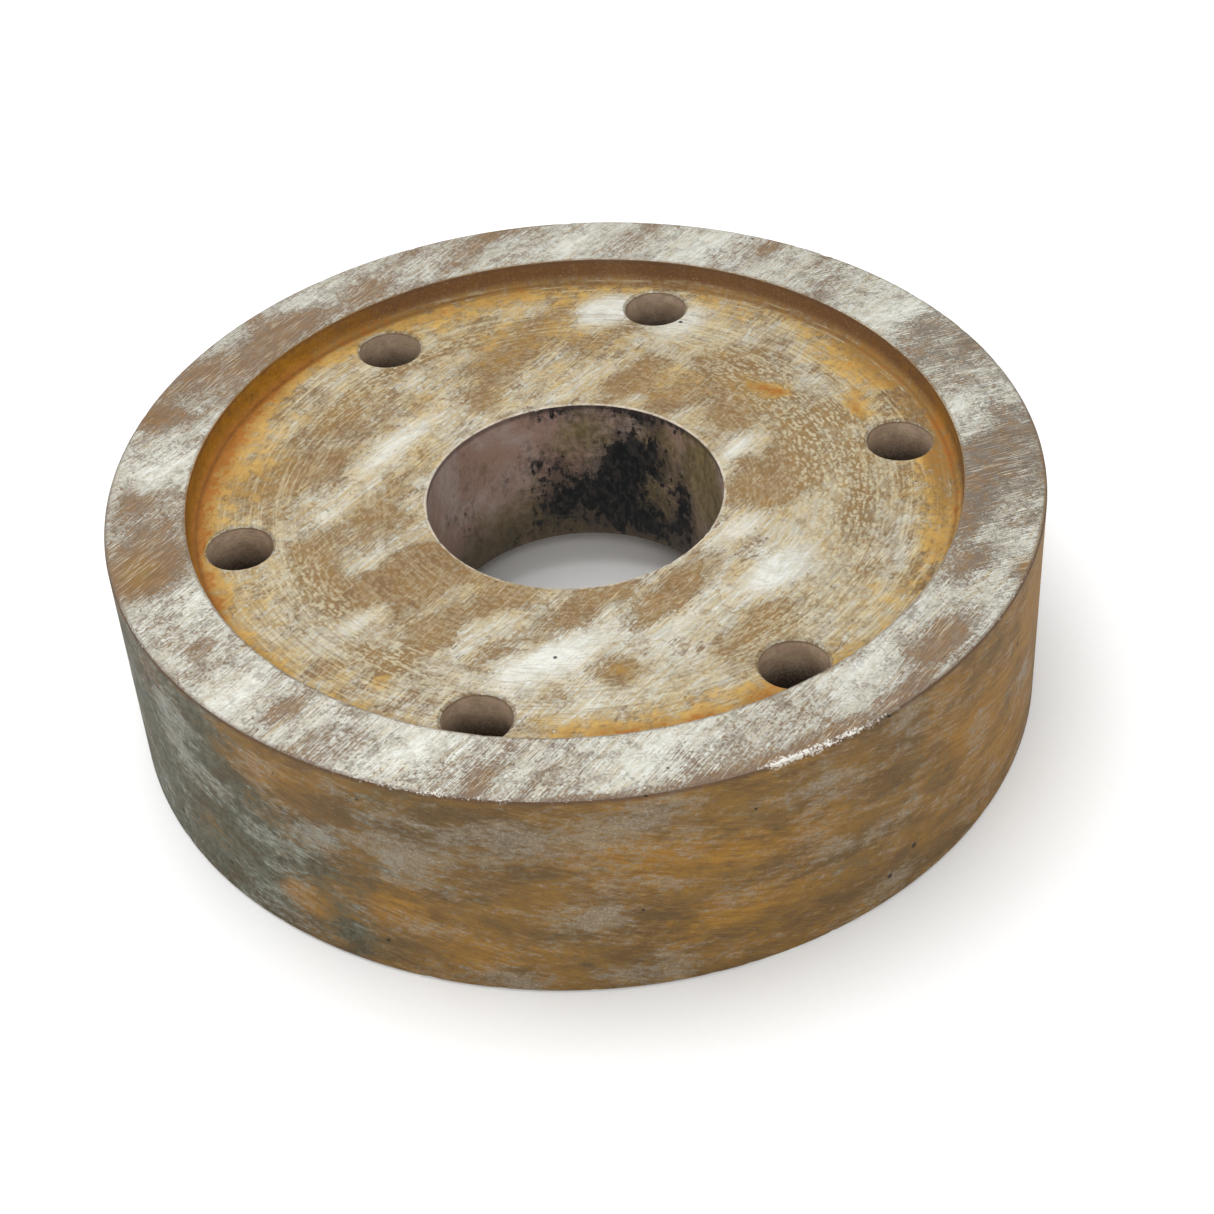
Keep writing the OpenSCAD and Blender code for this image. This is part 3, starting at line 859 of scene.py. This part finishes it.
# Bolt holes: reamed smooth, taupe, darker towards the foot as painted shade, with a pale bevelled lip.
hole_iron, tree, shader, position = new_material("bolt_hole_iron")
parts = add(tree, "ShaderNodeSeparateXYZ", {0: position}).outputs
clouds = noise(tree, position, 0.2, 5.0, 0.6, 0.4)
flecks = noise(tree, position, 1.6, 4.0, 0.7)
marks = place(tree, round_group, {"Position": position, "Slant": 0.0, "Length": 6.0, "Width": 0.35})
down_hole = sums(tree, "SUBTRACT", floor_z / MM, parts["Z"])
surface = mix(tree, ramp(tree, clouds, 0.35, 0.65), shade(198, 174, 148), shade(172, 148, 124))
surface = mix(tree, ramp(tree, flecks, 0.5, 0.7, 0.0, 0.5), surface, shade(140, 116, 92))
surface = mix(tree, ramp(tree, marks, 0.52, 0.66, 0.0, 0.4), surface, shade(116, 96, 74))
# Painted shade: each hole darkens towards its foot, broken up a little by flecks.
hole_foot_shade = times(tree, ramp(tree, down_hole, 1.0, 15.0), ramp(tree, flecks, 0.35, 0.55, 0.75, 0.96))
surface = mix(tree, hole_foot_shade, surface, shade(48, 40, 32))
surface = mix(tree, ramp(tree, down_hole, 0.7, 1.6, 0.65, 0.0), surface, shade(84, 64, 46))
relief = times_plus(tree, marks, 0.6, times(tree, flecks, 0.3))
shader.inputs["Specular IOR Level"].default_value = 0.25
finish(tree, shader, surface, 0.6, 0.0, relief, 0.08)

for material in (turned_iron, outer_iron, bore_iron, hole_iron):
    drilled_mesh.materials.append(material)
TURNED, OUTER, BORE, HOLE = range(4)
folded_centres = [(single_hole_x, 0), (paired_hole_x, paired_hole_y)]
for face in drilled_mesh.polygons:
    centre = face.center
    face_r = math.hypot(centre.x, centre.y)
    off_hole = min(math.hypot(abs(centre.x) - hx, abs(centre.y) - hy) for hx, hy in folded_centres)
    between_floors = lower_floor_z - 1e-5 < centre.z < floor_z + 1e-5
    if off_hole < bolt_hole_r + bolt_hole_bevel * 0.2 and between_floors:
        face.material_index = HOLE
    elif face_r > outer_r - rim_edge_r * 0.35:
        face.material_index = OUTER
    elif face_r < bore_r + bore_edge_r * 0.3:
        face.material_index = BORE
    else:
        face.material_index = TURNED

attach(wheel, "root")
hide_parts("wheel_body")

# ---------------------------------------------------------------------------------------------
# Studio floor: a plain matt white board that the wheel stands on. It isn't part of the object.
# ---------------------------------------------------------------------------------------------
floor_side = 8.0
board = bmesh.new()
bmesh.ops.create_grid(board, x_segments=1, y_segments=1, size=floor_side / 2)
bmesh.ops.translate(board, verts=board.verts, vec=(0, 0, -0.2 * MM))
floor_mesh = bpy.data.meshes.new("studio_floor")
board.to_mesh(floor_mesh)
board.free()
floor = bpy.data.objects.new("studio_floor", floor_mesh)
bpy.context.collection.objects.link(floor)
white_board, tree, shader, position = new_material("white_board")
tooth = noise(tree, position, 0.6, 3.0)
board_colour = mix(tree, tooth, shade(244, 244, 243), shade(248, 248, 247))
finish(tree, shader, board_colour, 0.9, 0.0, tooth, 0.02)
floor_mesh.materials.append(white_board)

# ---------------------------------------------------------------------------------------------
# Lights: a wide soft lamp overhead, a little behind and to the left, and an even white sky.
# ---------------------------------------------------------------------------------------------
world = bpy.data.worlds.new("studio_sky")
bpy.context.scene.world = world
world.use_nodes = True
sky = world.node_tree.nodes["Background"]
sky.inputs["Color"].default_value = (0.98, 0.99, 1.0, 1.0)
sky.inputs["Strength"].default_value = 0.62


def soft_lamp(name, place_at, aim_at, side, power):
    """A square soft lamp that points at a place."""
    lamp = bpy.data.lights.new(name, "AREA")
    lamp.shape = "SQUARE"
    lamp.size = side
    lamp.energy = power
    holder = bpy.data.objects.new(name, lamp)
    bpy.context.collection.objects.link(holder)
    holder.location = place_at
    holder.rotation_euler = (Vector(aim_at) - Vector(place_at)).to_track_quat("-Z", "Y").to_euler()


wheel_middle = (0, 0, 0.03)
soft_lamp("overhead_lamp", (-0.25, 0.35, 1.4), wheel_middle, side=1.3, power=17.0)
soft_lamp("front_lamp", (-0.16, -1.25, 1.1), wheel_middle, side=0.5, power=9.0)

# ---------------------------------------------------------------------------------------------
# Camera: looks down on the wheel from the front, a little to the left, and leans slightly.
# ---------------------------------------------------------------------------------------------
view_azimuth, view_elevation, view_roll = (math.radians(a) for a in (-8.75, 40.4, 3.9))
camera_place = Vector((-0.0737, -0.5217, 0.4656))
level_right = Vector((math.cos(view_azimuth), math.sin(view_azimuth), 0))
backward = Vector((math.sin(view_azimuth) * math.cos(view_elevation),
                   -math.cos(view_azimuth) * math.cos(view_elevation),
                   math.sin(view_elevation)))
level_up = backward.cross(level_right)
right = level_right * math.cos(view_roll) - level_up * math.sin(view_roll)
up = level_right * math.sin(view_roll) + level_up * math.cos(view_roll)
camera = bpy.data.cameras.new("camera")
camera.sensor_width = 36.0
camera.lens = 73.3
camera_holder = bpy.data.objects.new("camera", camera)
bpy.context.collection.objects.link(camera_holder)
camera_turn = Matrix((right, up, backward)).transposed().to_4x4()
camera_holder.matrix_world = Matrix.Translation(camera_place) @ camera_turn
bpy.context.scene.camera = camera_holder
bpy.context.scene.view_settings.view_transform = "Standard"
